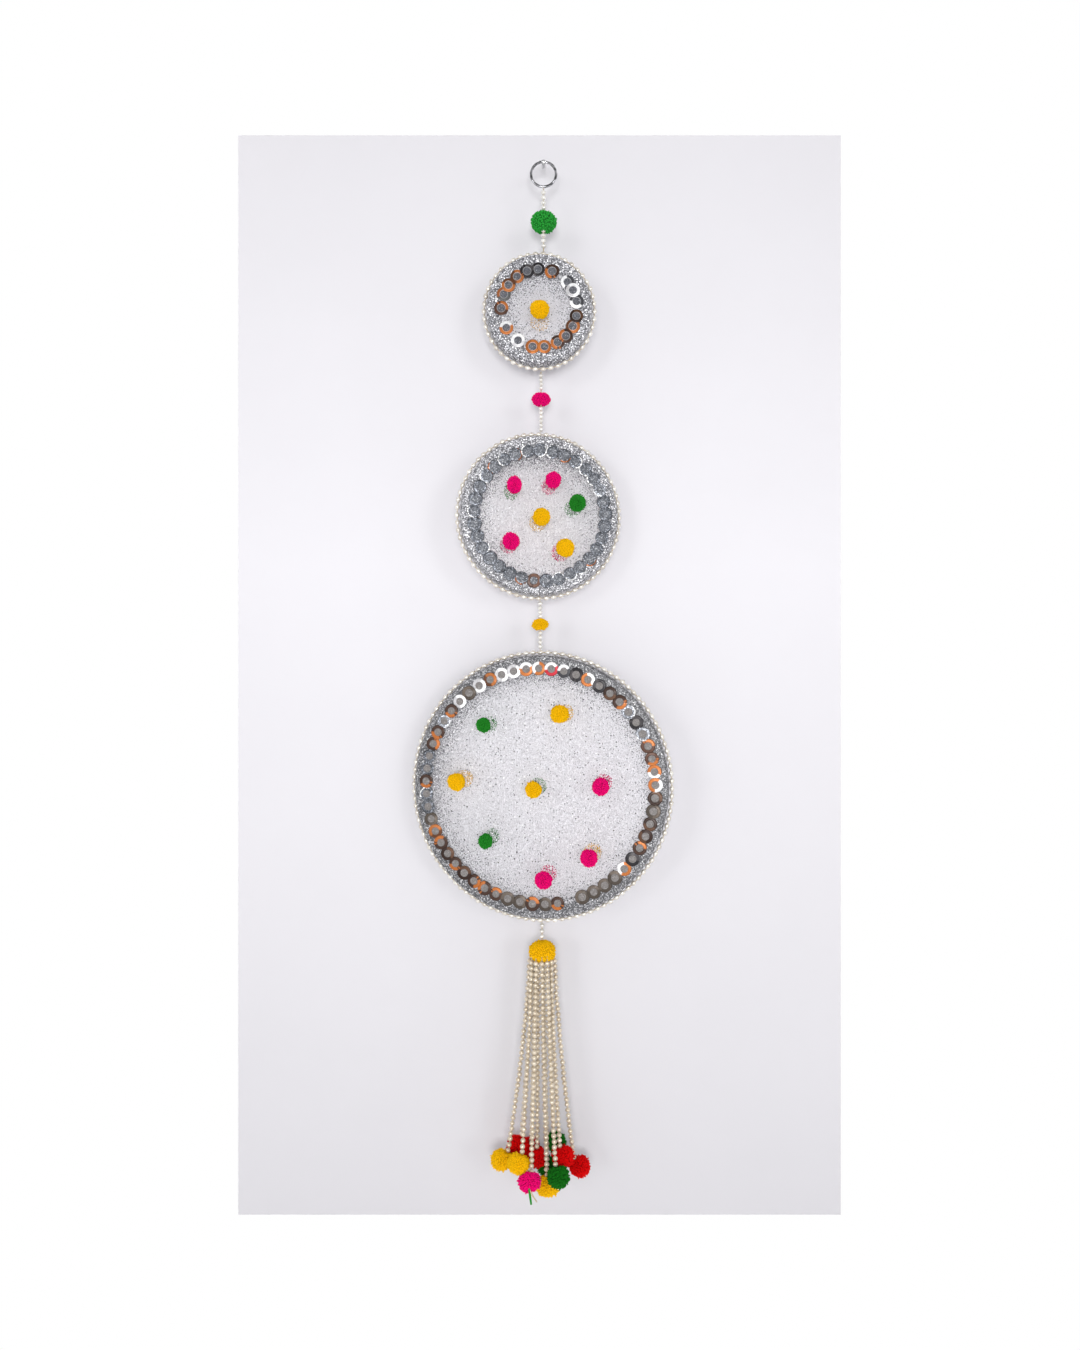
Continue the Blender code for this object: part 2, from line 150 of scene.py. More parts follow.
# disc: front colour, back colour, place across, place up, diameter
SEWN_POMPOMS = {
    "small": (("yellow", "yellow", 0.6, -3.9, 15.0),),
    "medium": (
        ("pink", "green", -23.0, 24.5, 13.5),
        ("pink", "pink", 11.0, 29.5, 13.0),
        ("green", "green", 32.2, 10.0, 14.0),
        ("yellow", "yellow", 0.5, -3.0, 14.0),
        ("pink", "pink", -25.8, -24.0, 13.8),
        ("yellow", "pink", 21.3, -29.3, 14.0),
    ),
    "large": (
        ("green", "green", -48.3, 54.1, 12.4),
        ("yellow", "yellow", 19.3, 64.0, 14.2),
        ("yellow", "yellow", -72.4, 4.0, 14.0),
        ("yellow", "green", -3.9, -1.5, 13.4),
        ("pink", "pink", 54.6, 2.2, 14.2),
        ("green", "green", -46.3, -47.5, 12.4),
        ("pink", "yellow", 44.6, -59.5, 14.2),
        ("pink", "pink", 4.9, -79.7, 14.0),
    ),
}
# Sewn pompoms that aren't quite round: shares of their width and height
SEWN_SHAPES = {
    ("small", 1): (1.12, 1.06),
    ("medium", 1): (0.92, 1.09),
    ("medium", 6): (1.12, 1.15),
    ("large", 2): (1.12, 1.06),
    ("large", 3): (1.08, 1.10),
}
# Share of a sewn pompom's radius at which its flat side is
SEWN_PRESS = 0.8
# Thickness of the nets' solids, and the gap from them to what is sewn on
NET = 1.0
NET_GAP = 0.6

# string: centre x, top, bottom, bead diameter, heights of its beads
STRINGS = {
    "top": (0.0, -20.7, -75.6, 4.2, (-24.3, -28.8, -33.3, -37.8, -57.3, -62.0, -66.7, -71.4)),
    "upper": (
        -2.2, -182.3, -235.1, 3.5,
        (-185.6, -189.3, -193.0, -196.7, -214.6, -218.3, -222.0, -225.7, -229.4, -233.1),
    ),
    "lower": (
        -2.9, -384.3, -427.0, 4.0,
        (-386.5, -390.3, -394.1, -397.9, -412.4, -416.5, -420.6, -424.7),
    ),
    "tassel": (-1.3, -667.8, -682.4, 4.1, (-670.3, -675.1, -679.9)),
}
THREAD = 0.5

RING_RADIUS = 11.0
RING_WIRE = 1.15
ARM_RADIUS = 1.5
ARM_GAP = 0.3

# string: colour, shade of its yarn (a lighter copy of the green as painted light for the top),
# centre height, half width, half depth, half height, spacing of its yarn ends
THREADED_POMPOMS = {
    "top": ("green", "painted_lit_green", -50.4, 11.0, 10.6, 9.3, 1.55),
    "upper": ("pink", "pink", -206.6, 8.0, 7.6, 5.8, 1.1),
    "lower": ("yellow", "yellow", -405.0, 7.3, 7.0, 4.9, 1.1),
}
# Widths of a yarn end at its root and its tip, as shares of the spacing of the ends
PILE_ROOT = 0.60
PILE_TIP = 0.36
# How much of a yarn's full colour shows on the core, at the roots and at the tips:
# less of it lower down is painted shade in the pile
CORE_DEPTH = 0.10
ROOT_DEPTH = 0.20
TIP_DEPTH = 1.0

# Tassel head and strands, as the solids have them
HEAD_X = -1.2
HEAD_Z = -692.9
HEAD_SIZE = (12.4, 11.6, 9.9)
ROOT_DROP = 1.5
STRAND_SPREAD = 1.4
ENTRY_RISE = 5.0
ENTRY_REACH = 0.85
END_RADIUS = 9.5
# Spacing and height of the yarn pile on the head and on the end pompoms
HEAD_PILE = (1.45, 1.5)
END_PILE = (1.6, 2.0)
# Each strand: place of its root, colour of its end pompom, place of the pompom's centre
STRANDS = (
    (-10.8, -1.0, "yellow", -36.7, -4.0, -874.8),
    (-9.2, -5.5, "yellow", -21.8, -18.0, -871.3),
    (-5.4, -8.0, "pink", -12.4, -25.0, -883.1),
    (4.4, -8.5, "green", 12.5, -21.0, -881.0),
    (-0.2, -9.0, "yellow", 3.9, -8.0, -895.4),
    (7.8, -5.0, "red", 17.2, -4.5, -871.0),
    (11.0, 0.0, "red", 32.0, 4.0, -884.4),
    (-8.8, 4.2, "red", -23.0, 9.0, -868.5),
    (-3.6, 1.0, "red", -6.5, 6.0, -877.0),
    (-6.6, 7.5, "red", -12.6, 20.0, -876.0),
    (7.6, 5.4, "green", 10.8, 17.0, -869.5),
    (1.4, 3.2, "green", 4.2, 13.0, -889.5),
)
TIE_STRAND = 2
# Where the two tie ends start from that strand's pompom, then their points and radii
TIE_ROOT = (0.0, -8.0, -1.6)
GREEN_TIE = ((0.0, 0.0, 0.0), (0.9, -1.3, -6.0), (1.9, -1.8, -12.5))
GREEN_TIE_RADII = (0.8, 1.0, 0.8)
PALE_TIE = ((0.0, 0.0, 0.0), (2.8, -1.2, -5.0), (6.6, -1.0, -10.8))
PALE_TIE_RADII = (0.55, 0.70, 0.55)
PEARL_PITCH = 4.75
PEARL_WIDTH = 4.4

# yarn: its colour, and the share of it that shows down between its ends as painted shade.
# The lit and shaded greens are copies of the green yarn, lighter as painted light and
# darker as painted shade
YARN = {
    "green": ((0.020, 0.275, 0.022), 0.28),
    "painted_lit_green": ((0.030, 0.40, 0.050), 0.28),
    "painted_shaded_green": ((0.008, 0.170, 0.009), 0.28),
    "pink": ((0.98, 0.002, 0.205), 0.28),
    "yellow": ((1.0, 0.575, 0.002), 0.55),
    "red": ((0.80, 0.001, 0.002), 0.28),
}

# disc: grains a metre and light of its glitter, the factor on its painted glints and reflections
GLITTER = {"small": (820.0, 1.75), "medium": (880.0, 1.70), "large": (920.0, 0.92)}
# disc: colour of its nets, share of their threads, size of their specks
NETS = {
    "small": ((0.87, 0.86, 0.91), 0.40, 0.38),
    "medium": ((0.95, 0.94, 0.97), 0.24, 0.36),
    "large": ((0.90, 0.89, 0.93), 0.27, 0.52),
}
# disc: name of the film in its spangles' holes, and the film's greys by share.
# The film is the glitter seen through each hole, kept dark as painted shade
SHADED_HOLE_FILMS = {
    "small": ("dark_slate_film", (
        (0.0, (0.050, 0.052, 0.065)), (0.3, (0.085, 0.088, 0.105)),
        (0.7, (0.125, 0.13, 0.15)), (0.93, (0.28, 0.29, 0.32)),
    )),
    "medium": ("slate_film", (
        (0.0, (0.065, 0.070, 0.085)), (0.3, (0.13, 0.14, 0.16)),
        (0.7, (0.22, 0.23, 0.255)), (0.90, (0.46, 0.47, 0.50)),
    )),
    "large": ("brown_film", (
        (0.0, (0.145, 0.13, 0.125)), (0.3, (0.18, 0.165, 0.16)),
        (0.7, (0.22, 0.205, 0.20)), (0.93, (0.30, 0.28, 0.27)),
    )),
}


# Mesh helpers


def new_object(name, data):
    """A new object in the scene."""
    made = bpy.data.objects.new(name, data)
    bpy.context.scene.collection.objects.link(made)
    return made


def add_piece(name, points, faces, made_of, nodes, slot):
    """A mesh piece from points in millimetres, measured from the hook's seat."""
    mesh = bpy.data.meshes.new(name)
    placed = (np.asarray(points) + (0.0, 0.0, SEAT_Z)) * MM
    mesh.from_pydata(placed.tolist(), [], faces)
    mesh.update()
    mesh.shade_smooth()
    mesh.materials.append(made_of)
    piece = new_object(name, mesh)
    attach(piece, "root")
    if nodes:
        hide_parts(*nodes)
    return piece


def paint(piece, name, colours):
    """Stores a colour for each point of a piece, or a grey from one number a point."""
    colours = np.asarray(colours)
    if colours.ndim == 1:
        colours = colours[:, None]
    layer = piece.data.attributes.new(name, "FLOAT_COLOR", "POINT")
    flat = np.ones((len(colours), 4), np.float32)
    flat[:, :3] = colours
    layer.data.foreach_set("color", flat.ravel())


def joined(parts):
    """Points and faces of several meshes as one."""
    points = []
    faces = []
    start = 0
    for own_points, own_faces in parts:
        points.append(np.asarray(own_points))
        faces.extend([tuple(i + start for i in face) for face in own_faces])
        start += len(own_points)
    return np.concatenate(points), faces


def band(here, there, count, flipped=False):
    """Faces between two rings of count points, which start at here and at there."""
    faces = []
    for one in range(count):
        after = (one + 1) % count
        if flipped:
            faces.append((here + one, there + one, there + after, here + after))
        else:
            faces.append((here + one, here + after, there + after, there + one))
    return faces


def unit_ball(segments, rings):
    """Points and faces of a ball of radius 1 with its poles on Z."""
    points = [(0.0, 0.0, 1.0)]
    for ring in range(1, rings):
        polar = math.pi * ring / rings
        for segment in range(segments):
            turn = 2.0 * math.pi * segment / segments
            points.append((
                math.sin(polar) * math.cos(turn),
                math.sin(polar) * math.sin(turn),
                math.cos(polar),
            ))
    points.append((0.0, 0.0, -1.0))
    faces = []
    for segment in range(segments):
        after = (segment + 1) % segments
        faces.append((0, 1 + segment, 1 + after))
        for ring in range(rings - 2):
            upper = 1 + ring * segments
            lower = upper + segments
            faces.append((upper + segment, lower + segment, lower + after, upper + after))
        last = 1 + (rings - 2) * segments
        faces.append((len(points) - 1, last + after, last + segment))
    return np.array(points), faces


def frames_along(directions):
    """Two unit vectors across each direction."""
    directions = directions / np.linalg.norm(directions, axis=1, keepdims=True)
    helper = np.tile((0.0, 1.0, 0.0), (len(directions), 1))
    helper[np.abs(directions[:, 1]) > 0.9] = (1.0, 0.0, 0.0)
    first = np.cross(directions, helper)
    first /= np.linalg.norm(first, axis=1, keepdims=True)
    second = np.cross(directions, first)
    return directions, first, second


def bead_mesh(centres, directions, widths, lengths, segments, rings):
    """One oval bead at each centre, its length along its direction."""
    ball, ball_faces = unit_ball(segments, rings)
    along, first, second = frames_along(np.asarray(directions, float))
    widths = np.asarray(widths, float)[:, None, None] / 2.0
    lengths = np.asarray(lengths, float)[:, None, None] / 2.0
    points = np.asarray(centres, float)[:, None, :] + (
        ball[None, :, 0:1] * widths * first[:, None, :]
        + ball[None, :, 1:2] * widths * second[:, None, :]
        + ball[None, :, 2:3] * lengths * along[:, None, :]
    )
    return joined([(own, ball_faces) for own in points])


def tube_mesh(path, radii, sides, closed=False):
    """A round tube along a path of points."""
    path = np.asarray(path, float)
    count = len(path)
    if closed:
        tangents = np.roll(path, -1, axis=0) - np.roll(path, 1, axis=0)
    else:
        tangents = np.gradient(path, axis=0)
    _, first, second = frames_along(tangents)
    angles = 2.0 * np.pi * np.arange(sides) / sides
    radii = np.broadcast_to(radii, count)[:, None, None]
    points = path[:, None, :] + radii * (
        np.cos(angles)[None, :, None] * first[:, None, :]
        + np.sin(angles)[None, :, None] * second[:, None, :]
    )
    faces = []
    for ring in range(count if closed else count - 1):
        faces.extend(band(ring * sides, (ring + 1) % count * sides, sides))
    if not closed:
        faces.append(tuple(reversed(range(sides))))
        faces.append(tuple(range((count - 1) * sides, count * sides)))
    return points.reshape(-1, 3), faces


def on_disc(name, across, up, forward):
    """Row frame points from places on a disc, forward towards the viewer."""
    x, z, yaw = DISCS[name][:3]
    turn = math.radians(yaw)
    across, up, forward = np.broadcast_arrays(
        np.asarray(across, float), np.asarray(up, float), np.asarray(forward, float)
    )
    return np.stack(
        (
            x + across * math.cos(turn) + forward * math.sin(turn),
            HANG + across * math.sin(turn) - forward * math.cos(turn),
            z + up,
        ),
        axis=-1,
    )


# Materials


def new_material(name):
    """An empty node material: its nodes, its links, its shader and its output."""
    material = bpy.data.materials.new(name)
    material.use_nodes = True
    nodes = material.node_tree.nodes
    return material, nodes, material.node_tree.links, nodes["Principled BSDF"]


def scaled(colour, share):
    """A colour with each part times a share."""
    return tuple(share * part for part in colour)


def object_places(nodes):
    """The Object coordinates socket."""
    return nodes.new("ShaderNodeTexCoord").outputs["Object"]


def painted(nodes, name):
    """The sockets of a colour that paint has stored."""
    made = nodes.new("ShaderNodeAttribute")
    made.attribute_name = name
    return made.outputs


def noise(nodes, links, scale, detail, vector):
    """A noise texture."""
    made = nodes.new("ShaderNodeTexNoise")
    made.inputs["Scale"].default_value = scale
    made.inputs["Detail"].default_value = detail
    links.new(vector, made.inputs["Vector"])
    return made


def cells(nodes, links, scale, vector):
    """The distance in each cell of a Voronoi texture, and the cell's own random colour."""
    made = nodes.new("ShaderNodeTexVoronoi")
    made.inputs["Scale"].default_value = scale
    links.new(vector, made.inputs["Vector"])
    parts = nodes.new("ShaderNodeSeparateColor")
    links.new(made.outputs["Color"], parts.inputs["Color"])
    return made.outputs["Distance"], parts.outputs


def ramp(nodes, links, value, stops, steps=False):
    """A colour ramp from (place, colour) stops."""
    made = nodes.new("ShaderNodeValToRGB")
    made.color_ramp.interpolation = "CONSTANT" if steps else "LINEAR"
    elements = made.color_ramp.elements
    while len(elements) < len(stops):
        elements.new(0.5)
    for element, (place, colour) in zip(elements, stops):
        element.position = place
        element.color = (*colour, 1.0)
    links.new(value, made.inputs["Fac"])
    return made.outputs["Color"]


def maths(nodes, links, operation, first, second):
    """A maths node on sockets or numbers."""
    made = nodes.new("ShaderNodeMath")
    made.operation = operation
    for number, value in enumerate((first, second)):
        if isinstance(value, (int, float)):
            made.inputs[number].default_value = value
        else:
            links.new(value, made.inputs[number])
    return made.outputs[0]


def mixed(nodes, links, factor, first, second, blend="MIX"):
    """A colour mix of sockets or plain colours."""
    made = nodes.new("ShaderNodeMix")
    made.data_type = "RGBA"
    made.blend_type = blend
    for name, value in (("Factor", factor), ("A", first), ("B", second)):
        socket = next(one for one in made.inputs if one.name == name and one.enabled)
        if isinstance(value, (int, float)):
            socket.default_value = value
        elif isinstance(value, tuple):
            socket.default_value = (*value, 1.0)
        else:
            links.new(value, socket)
    return next(one for one in made.outputs if one.enabled)


def bump(nodes, links, shader, height, distance):
    """Bump on a shader's normal."""
    made = nodes.new("ShaderNodeBump")
    made.inputs["Strength"].default_value = 1.0
    made.inputs["Distance"].default_value = distance
    links.new(height, made.inputs["Height"])
    links.new(made.outputs["Normal"], shader.inputs["Normal"])


def metal_material(name, colour, roughness, scratch_scale, dark_share):
    """Polished or satin metal with fine scratches and darker streaks."""
    material, nodes, links, shader = new_material(name)
    places = object_places(nodes)
    worn = noise(nodes, links, scratch_scale, 4.0, places).outputs["Fac"]
    stops = ((0.42, scaled(colour, dark_share)), (0.58, colour))
    shade = ramp(nodes, links, worn, stops)
    links.new(shade, shader.inputs["Base Color"])
    rough = ramp(
        nodes, links, worn, ((0.3, (roughness,) * 3), (0.75, (roughness + 0.12,) * 3))
    )
    links.new(rough, shader.inputs["Roughness"])
    shader.inputs["Metallic"].default_value = 1.0
    bump(nodes, links, shader, worn, 0.00003)
    return material


def pearl_material(name, low, middle, high, metallic=0.45):
    """Pearl lacquer in three tints, with a clear coat."""
    material, nodes, links, shader = new_material(name)
    places = object_places(nodes)
    cloud = noise(nodes, links, 150.0, 2.0, places).outputs["Fac"]
    tint = ramp(nodes, links, cloud, ((0.30, low), (0.50, middle), (0.72, high)))
    links.new(tint, shader.inputs["Base Color"])
    shader.inputs["Metallic"].default_value = metallic
    shader.inputs["Roughness"].default_value = 0.32
    shader.inputs["Coat Weight"].default_value = 1.0
    shader.inputs["Coat Roughness"].default_value = 0.12
    bump(nodes, links, shader, cloud, 0.00004)
    return material


def thread_material():
    """Twisted tan thread."""
    material, nodes, links, shader = new_material("tan_thread")
    places = object_places(nodes)
    twist = noise(nodes, links, 1500.0, 2.0, places).outputs["Fac"]
    tint = ramp(
        nodes, links, twist, ((0.35, (0.40, 0.30, 0.17)), (0.65, (0.66, 0.56, 0.40)))
    )
    links.new(tint, shader.inputs["Base Color"])
    shader.inputs["Roughness"].default_value = 0.85
    bump(nodes, links, shader, twist, 0.00012)
    return material


def glitter_colour(nodes, links, distance, parts, light):
    """Silver glitter: round grains, each cell of a Voronoi texture in a grey from dark to white,
    painted glints and dark reflections of the silver, darker towards its edge.
    """
    greys = (
        (0.0, (0.20, 0.20, 0.215)), (0.22, (0.34, 0.34, 0.36)), (0.50, (0.50, 0.50, 0.52)),
        (0.80, (0.72, 0.72, 0.75)), (0.93, (1.0, 1.0, 1.0)),
    )
    # Greys up to white times light: painted glints and dark reflections
    stops = tuple((place, scaled(grey, light)) for place, grey in greys)
    flake = ramp(nodes, links, parts["Red"], stops, steps=True)
    round_grain = ramp(
        nodes, links, distance,
        ((0.22, (1.0, 1.0, 1.0)), (0.40, (0.62, 0.62, 0.63)), (0.62, (0.16, 0.16, 0.17))),
    )
    return mixed(nodes, links, 1.0, flake, round_grain, "MULTIPLY")


def glitter_material(name, scale, light):
    """Silver glitter net wrapped tight round a hoop."""
    material, nodes, links, shader = new_material(name)
    distance, parts = cells(nodes, links, scale, object_places(nodes))
    shade = glitter_colour(nodes, links, distance, parts, light)
    links.new(shade, shader.inputs["Base Color"])
    shader.inputs["Metallic"].default_value = 0.15
    shader.inputs["Roughness"].default_value = 0.5
    bump(nodes, links, shader, distance, 0.0002)
    return material


def net_material(name, base, thread_share, speck_share, grain_scale, grain_light):
    """Sheer net: see-through between its threads, with glitter specks on it.

    DotsAndShade is the share of its fine dark dots, painted shade by the rim and painted shadow by
    the pompoms, and Rim is 1 where it lies on the hoop.
    """
    material, nodes, links, shader = new_material(name)
    places = object_places(nodes)
    dots_and_shade = painted(nodes, "DotsAndShade")["Fac"]
    rim = painted(nodes, "Rim")["Fac"]
    _, fine = cells(nodes, links, 2600.0, places)
    _, dots = cells(nodes, links, 1500.0, places)
    speck_distance, coarse = cells(nodes, links, 430.0, places)
    grain_distance, grain = cells(nodes, links, grain_scale, places)
    chance = maths(nodes, links, "SUBTRACT", coarse["Red"], 0.45)
    size = maths(nodes, links, "MULTIPLY", chance, speck_share)
    speck = maths(nodes, links, "LESS_THAN", speck_distance, size)
    # Glitter specks on the net, the white ones painted glints
    speck_colour = ramp(
        nodes, links, coarse["Green"],
        (
            (0.0, (0.03, 0.03, 0.035)), (0.45, (0.12, 0.12, 0.14)),
            (0.75, (0.28, 0.27, 0.30)), (0.88, (1.0, 1.0, 1.0)),
        ),
        steps=True,
    )
    greys = ((0.0, scaled(base, 0.72)), (0.15, scaled(base, 0.90)), (0.45, base))
    grey = ramp(nodes, links, fine["Red"], greys, steps=True)
    # Dark dots where painted shade and painted shadow are wanted
    dotted = maths(nodes, links, "LESS_THAN", dots["Green"], dots_and_shade)
    dark = mixed(nodes, links, dotted, grey, (0.13, 0.13, 0.15))
    shade = mixed(nodes, links, speck, dark, speck_colour)
    flake = glitter_colour(nodes, links, grain_distance, grain, grain_light)
    links.new(mixed(nodes, links, rim, shade, flake), shader.inputs["Base Color"])
    shader.inputs["Roughness"].default_value = 0.45
    closed_share = maths(nodes, links, "ADD", rim, thread_share)
    held = maths(nodes, links, "LESS_THAN", fine["Green"], closed_share)
    covered = maths(nodes, links, "MAXIMUM", held, dotted)
    links.new(maths(nodes, links, "MAXIMUM", covered, speck), shader.inputs["Alpha"])
    return material


def film_material(name, stops):
    """Glitter film that shows in the spangles' holes, from its greys by share, kept dark as
    painted shade.
    """
    material, nodes, links, shader = new_material(name)
    distance, parts = cells(nodes, links, 1300.0, object_places(nodes))
    shade = ramp(nodes, links, parts["Red"], stops, steps=True)
    links.new(shade, shader.inputs["Base Color"])
    shader.inputs["Roughness"].default_value = 0.5
    bump(nodes, links, shader, distance, 0.0002)
    return material


def foil_material():
    """Stamped foil spangles, each in two tones: its foil colour split into a lighter and a darker
    side as painted reflection.

    Speck is 1 where the net's glitter lies over the foil; there each grain gets a grey up to twice
    white, as painted glints.
    """
    material, nodes, links, shader = new_material("spangle_foil")
    places = object_places(nodes)
    worn = noise(nodes, links, 900.0, 3.0, places).outputs["Fac"]
    shade = ramp(nodes, links, worn, ((0.3, (0.72, 0.72, 0.72)), (0.62, (1.0, 1.0, 1.0))))
    _, parts = cells(nodes, links, 1300.0, places)
    # Painted glints: grains over the foil in greys up to twice white
    painted_glints = ramp(
        nodes, links, parts["Red"],
        ((0.0, (0.25,) * 3), (0.30, (0.55,) * 3), (0.70, (1.0,) * 3), (0.88, (2.0,) * 3)),
        steps=True,
    )
    grainy = mixed(nodes, links, painted(nodes, "Speck")["Fac"], shade, painted_glints)
    tone = painted(nodes, "Tone")["Color"]
    mix = mixed(nodes, links, 1.0, tone, grainy, "MULTIPLY")
    links.new(mix, shader.inputs["Base Color"])
    shader.inputs["Metallic"].default_value = 0.3
    shader.inputs["Roughness"].default_value = 0.4
    shader.inputs["Specular IOR Level"].default_value = 0.25
    shader.inputs["Coat Weight"].default_value = 0.08
    shader.inputs["Coat Roughness"].default_value = 0.15
    bump(nodes, links, shader, worn, 0.00006)
    return material


def yarn_material(name, colour, dark_share):
    """Cut yarn pile, at dark_share of its colour down between its ends: painted shade in the pile.
    """
    material, nodes, links, shader = new_material(name)
    depth = painted(nodes, "Depth")["Fac"]
    fibre = noise(nodes, links, 1400.0, 3.0, object_places(nodes)).outputs["Fac"]
    tint = ramp(nodes, links, fibre, ((0.30, scaled(colour, 0.74)), (0.62, colour)))
    # Darker down between the ends: painted shade
    shade = mixed(nodes, links, depth, scaled(colour, dark_share), tint)
    links.new(shade, shader.inputs["Base Color"])
    shader.inputs["Roughness"].default_value = 0.9
    shader.inputs["Specular IOR Level"].default_value = 0.1
    bump(nodes, links, shader, fibre, 0.0001)
    return material


def stage_material(name, colour, low_z=None, high_z=None):
    """Matt painted backdrop. With low_z and high_z in metres it is darker towards low_z and a
    little towards high_z as painted shade, and is seen from its front only."""
    material, nodes, links, shader = new_material(name)
    places = object_places(nodes)
    grain = noise(nodes, links, 9.0, 3.0, places).outputs["Fac"]
    tint = ramp(nodes, links, grain, ((0.3, scaled(colour, 0.985)), (0.7, colour)))
    shader.inputs["Roughness"].default_value = 0.95
    shader.inputs["Specular IOR Level"].default_value = 0.1
    if low_z is None:
        links.new(tint, shader.inputs["Base Color"])
        return material
    parts = nodes.new("ShaderNodeSeparateXYZ")
    links.new(places, parts.inputs["Vector"])
    above = maths(nodes, links, "SUBTRACT", parts.outputs["Z"], low_z)
    height = maths(nodes, links, "DIVIDE", above, high_z - low_z)
    # Painted shade: darker towards the foot and a little towards the top
    painted_falloff = ramp(
        nodes, links, height, ((0.0, (0.82,) * 3), (0.6, (1.0,) * 3), (1.0, (0.945,) * 3))
    )
    links.new(mixed(nodes, links, 1.0, tint, painted_falloff, "MULTIPLY"), shader.inputs["Base Color"])
    facing = nodes.new("ShaderNodeNewGeometry")
    front = maths(nodes, links, "SUBTRACT", 1.0, facing.outputs["Backfacing"])
    links.new(front, shader.inputs["Alpha"])
    return material


steel = metal_material("satin_steel", (0.62, 0.62, 0.63), 0.28, 700.0, 0.82)
chrome = metal_material("polished_chrome", (0.62, 0.62, 0.65), 0.10, 190.0, 0.28)
pearl = pearl_material("pearl_lacquer", (0.53, 0.44, 0.32), (0.62, 0.53, 0.40), (0.73, 0.65, 0.53))
string_pearl = pearl_material(
    "string_pearl_lacquer", (0.60, 0.58, 0.54), (0.72, 0.70, 0.66), (0.88, 0.87, 0.84), 0.2
)
light_pearl = pearl_material(
    "light_pearl_lacquer", (0.58, 0.53, 0.46), (0.74, 0.70, 0.63), (0.88, 0.86, 0.81)
)
tan = thread_material()
foil = foil_material()
yarn = {name: yarn_material(name + "_pile", *row) for name, row in YARN.items()}
glitter = {name: glitter_material(name + "_wrap", *row) for name, row in GLITTER.items()}
nets = {
    name: net_material(name + "_net", *row, *GLITTER[name]) for name, row in NETS.items()
}
films = {name: film_material(*row) for name, row in SHADED_HOLE_FILMS.items()}


# Yarn pompoms


def pile_directions(count, chance):
    """Evenly spread directions over a ball, a little unsettled."""
    steps = np.arange(count) + 0.5
    polar = np.arccos(1.0 - 2.0 * steps / count)
    turn = np.pi * (1.0 + 5.0**0.5) * steps
    directions = np.stack(
        (np.sin(polar) * np.cos(turn), np.sin(polar) * np.sin(turn), np.cos(polar)), axis=1
    )
    directions += chance.normal(0.0, 0.03, directions.shape)
    return directions / np.linalg.norm(directions, axis=1, keepdims=True)


def pompom_reach(directions, radii, lumps, notches):
    """How far a pompom's pile reaches in each direction."""
    reach = 1.0 / np.sqrt(((directions / np.asarray(radii)) ** 2).sum(axis=1))
    for axis, height in lumps:
        reach = reach * (1.0 + height * np.maximum(0.0, directions @ axis) ** 3)
    for axis, depth, width in notches:
        near = np.arccos(np.clip(directions @ axis, -1.0, 1.0)) / width
        reach = reach * (1.0 - depth * np.exp(-(near**2)))
    return reach


def pompom_mesh(centre, radii, seed, notches=(), press=None, spacing=1.15, height=1.2):
    """Points, faces and pile depth of one pompom: a core and its cut yarn ends. The pile depth is
    painted shade, less of the yarn's colour on the core and the roots.

    press is (sign of Y, distance) of a flat that the pile is pressed against, and
    height is that of the pile over the core.
    """
    chance = np.random.default_rng(seed)
    axes = pile_directions(7, chance)
    lumps = [(axis, chance.uniform(-0.05, 0.07)) for axis in axes]
    mean = float(np.mean(radii))
    count = int(4.0 * math.pi * mean**2 / spacing**2)
    ball, ball_faces = unit_ball(28, 18)
    shrink = 1.0 - height / mean
    core = ball * pompom_reach(ball, radii, lumps, notches)[:, None] * shrink
    directions = pile_directions(count, chance)
    reach = pompom_reach(directions, radii, lumps, notches)
    tips = directions * (reach * (1.0 + chance.normal(0.0, 0.3 * height / mean, count)))[:, None]
    tips += chance.normal(0.0, 0.12, tips.shape)
    roots = directions * (reach * shrink)[:, None]
    _, first, second = frames_along(directions)
    turns = chance.uniform(0.0, 2.0 * math.pi, count)
    corners = []
    ends = []
    for corner in range(4):
        angle = turns + 0.5 * math.pi * corner
        side = np.cos(angle)[:, None] * first + np.sin(angle)[:, None] * second
        corners.append(roots + PILE_ROOT * spacing * side)
        ends.append(tips + PILE_TIP * spacing * side)
    pile = np.stack((*corners, *ends), axis=1).reshape(-1, 3)
    points = np.concatenate((core, pile))
    if press is not None:
        sign, distance = press
        over = points[:, 1] * sign - distance
        points[over > 0.0, 1] = sign * (distance + 0.12 * over[over > 0.0])
    faces = list(ball_faces)
    for number in range(count):
        base = len(core) + 8 * number
        faces.extend(band(base, base + 4, 4))
        faces.append((base + 4, base + 5, base + 6, base + 7))
    # Less of the yarn's colour on the core and roots: painted shade
    depth = np.concatenate((
        np.full(len(core), CORE_DEPTH),
        np.tile((ROOT_DEPTH,) * 4 + (TIP_DEPTH,) * 4, count),
    ))
    return points + np.asarray(centre), faces, depth


def add_pompom(name, mesh, colour, nodes, shade=None):
    """A pompom as a piece, its yarn in a copy of its colour where one is named: lighter as painted
    light, darker as painted shade.
    """
    points, faces, depth = mesh
    piece = add_piece(name, points, faces, yarn[shade or colour], nodes, colour + "_yarn")
    paint(piece, "Depth", depth)


def dress_threaded_pompoms():
    """The pompoms threaded on the strings."""
    below = np.array((0.0, 0.0, -1.0))
    above = np.array((0.0, 0.0, 1.0))
    notches = [(below, 0.22, 0.35), (above, 0.12, 0.3)]
    for seed, (name, row) in enumerate(THREADED_POMPOMS.items(), start=1):
        colour, shade, height, half_width, half_depth, half_height, spacing = row
        centre = (STRINGS[name][0], HANG, height)
        radii = (half_width, half_depth, half_height)
        mesh = pompom_mesh(centre, radii, seed, notches, spacing=spacing)
        add_pompom(name + "_string_yarn", mesh, colour, (name + "_string_pompom",), shade)


